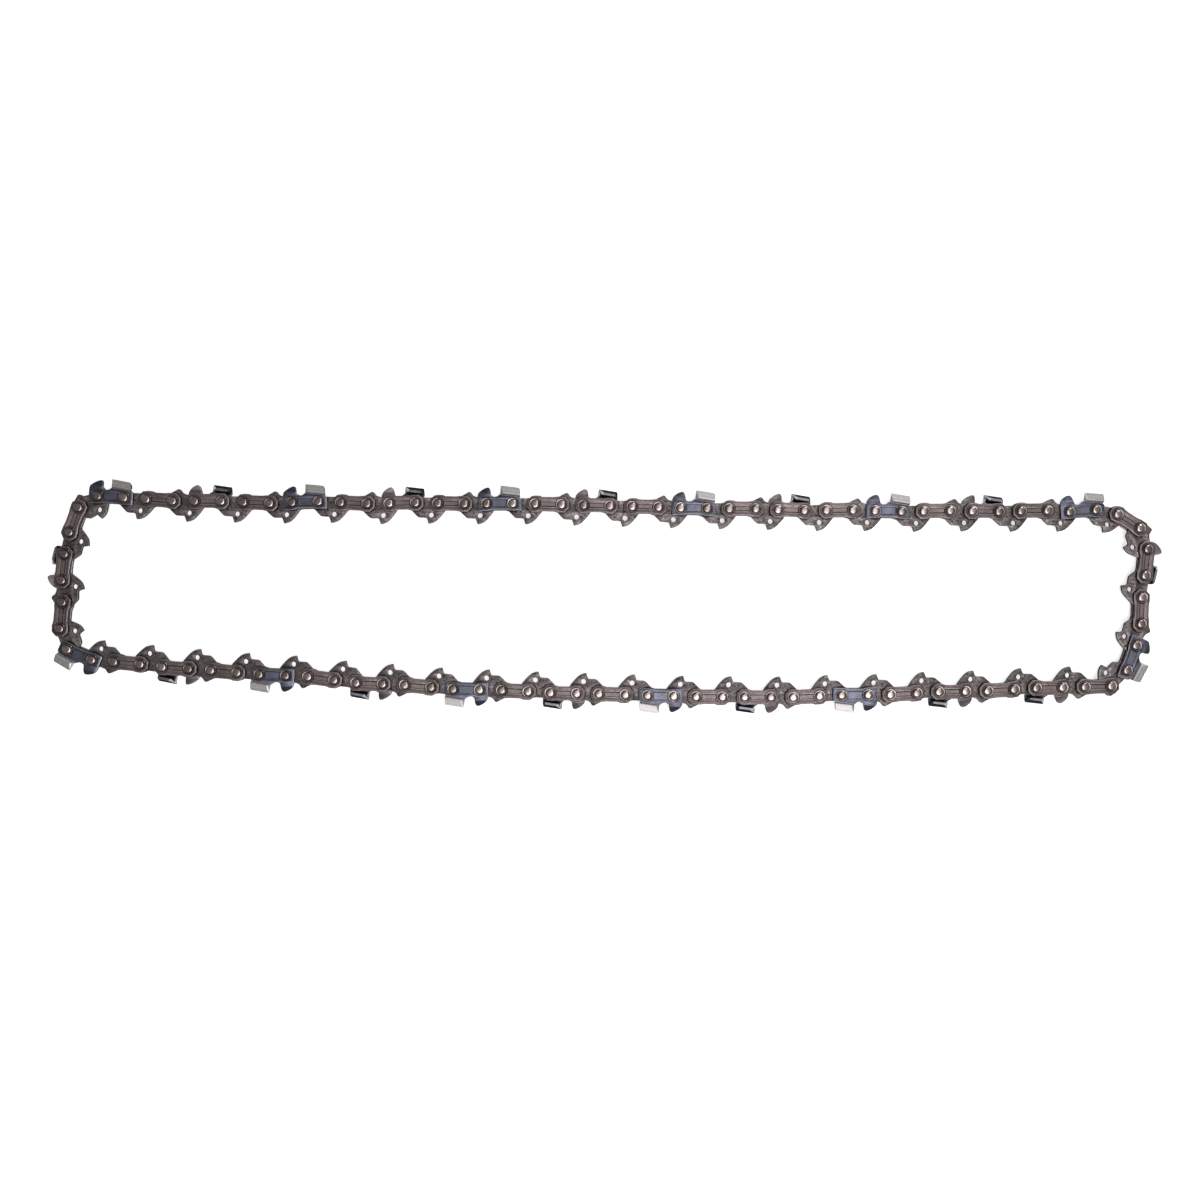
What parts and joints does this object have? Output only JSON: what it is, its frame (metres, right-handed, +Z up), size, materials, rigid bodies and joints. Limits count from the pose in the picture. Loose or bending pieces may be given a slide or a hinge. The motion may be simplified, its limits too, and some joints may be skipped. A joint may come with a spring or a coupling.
{
  "type": "chainsaw chain loop",
  "caption": "Closed loop of low-profile saw chain: hooked drive links, tie straps and left and right cutters on spun rivets, lying on its side.",
  "frame": {"origin": "centre of the loop's box, on the ground under it", "axes": "+X along the loop, +Y across it, +Z up out of the loop's plane, towards the left-hand cutters"},
  "size_m": [0.4382, 0.0914, 0.0063],
  "materials": {
    "tie_strap_steel": "browned, lightly oiled",
    "cutter_steel": "hard plated, slate blue sides and bright ground edges",
    "drive_link_steel": "dark oxide with small pits",
    "rivet_steel": "spun bronze-toned heads"
  },
  "bodies": {
    "link_01_tie": {"link_01_tie": "tie_strap_steel"},
    "link_02_right_cutter": {"link_02_right_cutter": "cutter_steel"},
    "link_03_tie": {"link_03_tie": "tie_strap_steel"},
    "link_04_left_cutter": {"link_04_left_cutter": "cutter_steel"},
    "link_05_tie": {"link_05_tie": "tie_strap_steel"},
    "link_06_right_cutter": {"link_06_right_cutter": "cutter_steel"},
    "link_07_tie": {"link_07_tie": "tie_strap_steel"},
    "link_08_left_cutter": {"link_08_left_cutter": "cutter_steel"},
    "link_09_tie": {"link_09_tie": "tie_strap_steel"},
    "link_10_right_cutter": {"link_10_right_cutter": "cutter_steel"},
    "link_11_tie": {"link_11_tie": "tie_strap_steel"},
    "link_12_left_cutter": {"link_12_left_cutter": "cutter_steel"},
    "link_13_tie": {"link_13_tie": "tie_strap_steel"},
    "link_14_right_cutter": {"link_14_right_cutter": "cutter_steel"},
    "link_15_tie": {"link_15_tie": "tie_strap_steel"},
    "link_16_left_cutter": {"link_16_left_cutter": "cutter_steel"},
    "link_17_tie": {"link_17_tie": "tie_strap_steel"},
    "link_18_right_cutter": {"link_18_right_cutter": "cutter_steel"},
    "link_19_tie": {"link_19_tie": "tie_strap_steel"},
    "links_20_and_21": {"link_20_left_cutter": "cutter_steel", "link_21_tie": "tie_strap_steel"},
    "link_22_right_cutter": {"link_22_right_cutter": "cutter_steel"},
    "link_23_tie": {"link_23_tie": "tie_strap_steel"},
    "link_24_left_cutter": {"link_24_left_cutter": "cutter_steel"},
    "link_25_tie": {"link_25_tie": "tie_strap_steel"},
    "link_26_right_cutter": {"link_26_right_cutter": "cutter_steel"},
    "link_27_tie": {"link_27_tie": "tie_strap_steel"},
    "link_28_right_cutter": {"link_28_right_cutter": "cutter_steel"},
    "link_29_tie": {"link_29_tie": "tie_strap_steel"},
    "link_30_left_cutter": {"link_30_left_cutter": "cutter_steel"},
    "link_31_tie": {"link_31_tie": "tie_strap_steel"},
    "link_32_right_cutter": {"link_32_right_cutter": "cutter_steel"},
    "link_33_tie": {"link_33_tie": "tie_strap_steel"},
    "link_34_left_cutter": {"link_34_left_cutter": "cutter_steel"},
    "link_35_tie": {"link_35_tie": "tie_strap_steel"},
    "link_36_right_cutter": {"link_36_right_cutter": "cutter_steel"},
    "link_37_tie": {"link_37_tie": "tie_strap_steel"},
    "link_38_left_cutter": {"link_38_left_cutter": "cutter_steel"},
    "link_39_tie": {"link_39_tie": "tie_strap_steel"},
    "link_40_right_cutter": {"link_40_right_cutter": "cutter_steel"},
    "link_41_tie": {"link_41_tie": "tie_strap_steel"},
    "link_42_left_cutter": {"link_42_left_cutter": "cutter_steel"},
    "link_43_tie": {"link_43_tie": "tie_strap_steel"},
    "link_44_right_cutter": {"link_44_right_cutter": "cutter_steel"},
    "links_45_and_46": {"link_45_tie": "tie_strap_steel", "link_46_left_cutter": "cutter_steel"},
    "link_47_tie": {"link_47_tie": "tie_strap_steel"},
    "link_48_right_cutter": {"link_48_right_cutter": "cutter_steel"},
    "link_49_tie": {"link_49_tie": "tie_strap_steel"},
    "link_50_left_cutter": {"link_50_left_cutter": "cutter_steel"}
  },
  "joints": [
    {"name": "pivot_11", "type": "hinge", "parent": "link_10_right_cutter", "child": "link_11_tie", "pos_m": [0.002, 0.03586, 0.00314], "axis": [0, 0, 1], "range_deg": [-20, 20]},
    {"name": "pivot_12", "type": "hinge", "parent": "link_11_tie", "child": "link_12_left_cutter", "pos_m": [0.02105, 0.0354, 0.00314], "axis": [0, 0, 1], "range_deg": [-20, 20]},
    {"name": "pivot_13", "type": "hinge", "parent": "link_12_left_cutter", "child": "link_13_tie", "pos_m": [0.04009, 0.0349, 0.00314], "axis": [0, 0, 1], "range_deg": [-20, 20]},
    {"name": "pivot_14", "type": "hinge", "parent": "link_13_tie", "child": "link_14_right_cutter", "pos_m": [0.05914, 0.03483, 0.00314], "axis": [0, 0, 1], "range_deg": [-20, 20]},
    {"name": "pivot_15", "type": "hinge", "parent": "link_14_right_cutter", "child": "link_15_tie", "pos_m": [0.07818, 0.03419, 0.00314], "axis": [0, 0, 1], "range_deg": [-20, 20]},
    {"name": "pivot_16", "type": "hinge", "parent": "link_15_tie", "child": "link_16_left_cutter", "pos_m": [0.09723, 0.03444, 0.00314], "axis": [0, 0, 1], "range_deg": [-20, 20]},
    {"name": "pivot_17", "type": "hinge", "parent": "link_16_left_cutter", "child": "link_17_tie", "pos_m": [0.11627, 0.03394, 0.00314], "axis": [0, 0, 1], "range_deg": [-20, 20]},
    {"name": "pivot_18", "type": "hinge", "parent": "link_17_tie", "child": "link_18_right_cutter", "pos_m": [0.13532, 0.03432, 0.00314], "axis": [0, 0, 1], "range_deg": [-20, 20]},
    {"name": "pivot_19", "type": "hinge", "parent": "link_18_right_cutter", "child": "link_19_tie", "pos_m": [0.15437, 0.03404, 0.00314], "axis": [0, 0, 1], "range_deg": [-20, 20]},
    {"name": "pivot_20", "type": "hinge", "parent": "link_19_tie", "child": "links_20_and_21", "pos_m": [0.17341, 0.03455, 0.00314], "axis": [0, 0, 1], "range_deg": [-20, 20]},
    {"name": "pivot_22", "type": "hinge", "parent": "links_20_and_21", "child": "link_22_right_cutter", "pos_m": [0.20972, 0.02759, 0.00314], "axis": [0, 0, 1], "range_deg": [-12, 12]},
    {"name": "pivot_23", "type": "hinge", "parent": "link_22_right_cutter", "child": "link_23_tie", "pos_m": [0.2117, 0.00911, 0.00314], "axis": [0, 0, 1], "range_deg": [-12, 12]},
    {"name": "pivot_24", "type": "hinge", "parent": "link_23_tie", "child": "link_24_left_cutter", "pos_m": [0.21013, -0.00985, 0.00314], "axis": [0, 0, 1], "range_deg": [-12, 12]},
    {"name": "pivot_25", "type": "hinge", "parent": "link_24_left_cutter", "child": "link_25_tie", "pos_m": [0.20466, -0.02805, 0.00314], "axis": [0, 0, 1], "range_deg": [-12, 12]},
    {"name": "pivot_26", "type": "hinge", "parent": "link_25_tie", "child": "link_26_right_cutter", "pos_m": [0.18818, -0.03455, 0.00314], "axis": [0, 0, 1], "range_deg": [-20, 20]},
    {"name": "pivot_27", "type": "hinge", "parent": "link_26_right_cutter", "child": "link_27_tie", "pos_m": [0.16914, -0.03506, 0.00314], "axis": [0, 0, 1], "range_deg": [-20, 20]},
    {"name": "pivot_28", "type": "hinge", "parent": "link_27_tie", "child": "link_28_right_cutter", "pos_m": [0.15013, -0.03625, 0.00314], "axis": [0, 0, 1], "range_deg": [-20, 20]},
    {"name": "pivot_29", "type": "hinge", "parent": "link_28_right_cutter", "child": "link_29_tie", "pos_m": [0.13108, -0.03663, 0.00314], "axis": [0, 0, 1], "range_deg": [-20, 20]},
    {"name": "pivot_30", "type": "hinge", "parent": "link_29_tie", "child": "link_30_left_cutter", "pos_m": [0.11206, -0.03777, 0.00314], "axis": [0, 0, 1], "range_deg": [-20, 20]},
    {"name": "pivot_31", "type": "hinge", "parent": "link_30_left_cutter", "child": "link_31_tie", "pos_m": [0.09302, -0.03803, 0.00314], "axis": [0, 0, 1], "range_deg": [-20, 20]},
    {"name": "pivot_32", "type": "hinge", "parent": "link_31_tie", "child": "link_32_right_cutter", "pos_m": [0.07399, -0.03891, 0.00314], "axis": [0, 0, 1], "range_deg": [-20, 20]},
    {"name": "pivot_33", "type": "hinge", "parent": "link_32_right_cutter", "child": "link_33_tie", "pos_m": [0.05494, -0.03884, 0.00314], "axis": [0, 0, 1], "range_deg": [-20, 20]},
    {"name": "pivot_34", "type": "hinge", "parent": "link_33_tie", "child": "link_34_left_cutter", "pos_m": [0.03589, -0.03881, 0.00314], "axis": [0, 0, 1], "range_deg": [-20, 20]},
    {"name": "pivot_35", "type": "hinge", "parent": "link_34_left_cutter", "child": "link_35_tie", "pos_m": [0.01684, -0.03836, 0.00314], "axis": [0, 0, 1], "range_deg": [-20, 20]},
    {"name": "pivot_10", "type": "hinge", "parent": "link_10_right_cutter", "child": "link_09_tie", "pos_m": [-0.01704, 0.03634, 0.00314], "axis": [0, 0, 1], "range_deg": [-20, 20]},
    {"name": "pivot_09", "type": "hinge", "parent": "link_09_tie", "child": "link_08_left_cutter", "pos_m": [-0.03609, 0.03675, 0.00314], "axis": [0, 0, 1], "range_deg": [-20, 20]},
    {"name": "pivot_08", "type": "hinge", "parent": "link_08_left_cutter", "child": "link_07_tie", "pos_m": [-0.05514, 0.03654, 0.00314], "axis": [0, 0, 1], "range_deg": [-20, 20]},
    {"name": "pivot_07", "type": "hinge", "parent": "link_07_tie", "child": "link_06_right_cutter", "pos_m": [-0.07418, 0.03691, 0.00314], "axis": [0, 0, 1], "range_deg": [-20, 20]},
    {"name": "pivot_06", "type": "hinge", "parent": "link_06_right_cutter", "child": "link_05_tie", "pos_m": [-0.09323, 0.03646, 0.00314], "axis": [0, 0, 1], "range_deg": [-20, 20]},
    {"name": "pivot_05", "type": "hinge", "parent": "link_05_tie", "child": "link_04_left_cutter", "pos_m": [-0.11226, 0.03727, 0.00314], "axis": [0, 0, 1], "range_deg": [-20, 20]},
    {"name": "pivot_04", "type": "hinge", "parent": "link_04_left_cutter", "child": "link_03_tie", "pos_m": [-0.1313, 0.03656, 0.00314], "axis": [0, 0, 1], "range_deg": [-20, 20]},
    {"name": "pivot_03", "type": "hinge", "parent": "link_03_tie", "child": "link_02_right_cutter", "pos_m": [-0.15033, 0.03731, 0.00314], "axis": [0, 0, 1], "range_deg": [-20, 20]},
    {"name": "pivot_02", "type": "hinge", "parent": "link_02_right_cutter", "child": "link_01_tie", "pos_m": [-0.16938, 0.03739, 0.00314], "axis": [0, 0, 1], "range_deg": [-20, 20]},
    {"name": "pivot_01", "type": "hinge", "parent": "link_01_tie", "child": "link_50_left_cutter", "pos_m": [-0.18839, 0.03862, 0.00314], "axis": [0, 0, 1], "range_deg": [-20, 20]},
    {"name": "pivot_50", "type": "hinge", "parent": "link_50_left_cutter", "child": "link_49_tie", "pos_m": [-0.20616, 0.03472, 0.00314], "axis": [0, 0, 1], "range_deg": [-12, 12]},
    {"name": "pivot_49", "type": "hinge", "parent": "link_49_tie", "child": "link_48_right_cutter", "pos_m": [-0.21163, 0.01652, 0.00314], "axis": [0, 0, 1], "range_deg": [-12, 12]},
    {"name": "pivot_48", "type": "hinge", "parent": "link_48_right_cutter", "child": "link_47_tie", "pos_m": [-0.21239, -0.00247, 0.00314], "axis": [0, 0, 1], "range_deg": [-12, 12]},
    {"name": "pivot_47", "type": "hinge", "parent": "link_47_tie", "child": "links_45_and_46", "pos_m": [-0.21041, -0.02095, 0.00314], "axis": [0, 0, 1], "range_deg": [-12, 12]},
    {"name": "pivot_45", "type": "hinge", "parent": "links_45_and_46", "child": "link_44_right_cutter", "pos_m": [-0.17326, -0.02769, 0.00314], "axis": [0, 0, 1], "range_deg": [-20, 20]},
    {"name": "pivot_44", "type": "hinge", "parent": "link_44_right_cutter", "child": "link_43_tie", "pos_m": [-0.15425, -0.02892, 0.00314], "axis": [0, 0, 1], "range_deg": [-20, 20]},
    {"name": "pivot_43", "type": "hinge", "parent": "link_43_tie", "child": "link_42_left_cutter", "pos_m": [-0.13527, -0.03056, 0.00314], "axis": [0, 0, 1], "range_deg": [-20, 20]},
    {"name": "pivot_42", "type": "hinge", "parent": "link_42_left_cutter", "child": "link_41_tie", "pos_m": [-0.11623, -0.0313, 0.00314], "axis": [0, 0, 1], "range_deg": [-20, 20]},
    {"name": "pivot_41", "type": "hinge", "parent": "link_41_tie", "child": "link_40_right_cutter", "pos_m": [-0.09734, -0.0337, 0.00314], "axis": [0, 0, 1], "range_deg": [-20, 20]},
    {"name": "pivot_40", "type": "hinge", "parent": "link_40_right_cutter", "child": "link_39_tie", "pos_m": [-0.0783, -0.0345, 0.00314], "axis": [0, 0, 1], "range_deg": [-20, 20]},
    {"name": "pivot_39", "type": "hinge", "parent": "link_39_tie", "child": "link_38_left_cutter", "pos_m": [-0.05932, -0.03611, 0.00314], "axis": [0, 0, 1], "range_deg": [-20, 20]},
    {"name": "pivot_38", "type": "hinge", "parent": "link_38_left_cutter", "child": "link_37_tie", "pos_m": [-0.04027, -0.03648, 0.00314], "axis": [0, 0, 1], "range_deg": [-20, 20]},
    {"name": "pivot_37", "type": "hinge", "parent": "link_37_tie", "child": "link_36_right_cutter", "pos_m": [-0.02125, -0.03738, 0.00314], "axis": [0, 0, 1], "range_deg": [-20, 20]}
  ],
  "couplings": [
    {"joint": "pivot_01", "follows": "pivot_02", "ratio": -1},
    {"joint": "pivot_45", "follows": "pivot_02", "ratio": 1},
    {"joint": "pivot_44", "follows": "pivot_02", "ratio": -1},
    {"joint": "pivot_03", "follows": "pivot_04", "ratio": -1},
    {"joint": "pivot_43", "follows": "pivot_04", "ratio": 1},
    {"joint": "pivot_42", "follows": "pivot_04", "ratio": -1},
    {"joint": "pivot_05", "follows": "pivot_06", "ratio": -1},
    {"joint": "pivot_41", "follows": "pivot_06", "ratio": 1},
    {"joint": "pivot_40", "follows": "pivot_06", "ratio": -1},
    {"joint": "pivot_07", "follows": "pivot_08", "ratio": -1},
    {"joint": "pivot_39", "follows": "pivot_08", "ratio": 1},
    {"joint": "pivot_38", "follows": "pivot_08", "ratio": -1},
    {"joint": "pivot_09", "follows": "pivot_10", "ratio": -1},
    {"joint": "pivot_37", "follows": "pivot_10", "ratio": 1},
    {"joint": "pivot_12", "follows": "pivot_11", "ratio": -1},
    {"joint": "pivot_34", "follows": "pivot_11", "ratio": 1},
    {"joint": "pivot_35", "follows": "pivot_11", "ratio": -1},
    {"joint": "pivot_14", "follows": "pivot_13", "ratio": -1},
    {"joint": "pivot_32", "follows": "pivot_13", "ratio": 1},
    {"joint": "pivot_33", "follows": "pivot_13", "ratio": -1},
    {"joint": "pivot_16", "follows": "pivot_15", "ratio": -1},
    {"joint": "pivot_30", "follows": "pivot_15", "ratio": 1},
    {"joint": "pivot_31", "follows": "pivot_15", "ratio": -1},
    {"joint": "pivot_18", "follows": "pivot_17", "ratio": -1},
    {"joint": "pivot_28", "follows": "pivot_17", "ratio": 1},
    {"joint": "pivot_29", "follows": "pivot_17", "ratio": -1},
    {"joint": "pivot_20", "follows": "pivot_19", "ratio": -1},
    {"joint": "pivot_26", "follows": "pivot_19", "ratio": 1},
    {"joint": "pivot_27", "follows": "pivot_19", "ratio": -1},
    {"joint": "pivot_23", "follows": "pivot_22", "ratio": -1},
    {"joint": "pivot_48", "follows": "pivot_22", "ratio": 1},
    {"joint": "pivot_47", "follows": "pivot_22", "ratio": -1},
    {"joint": "pivot_24", "follows": "pivot_50", "ratio": 1},
    {"joint": "pivot_25", "follows": "pivot_50", "ratio": -1},
    {"joint": "pivot_49", "follows": "pivot_50", "ratio": -1}
  ]
}
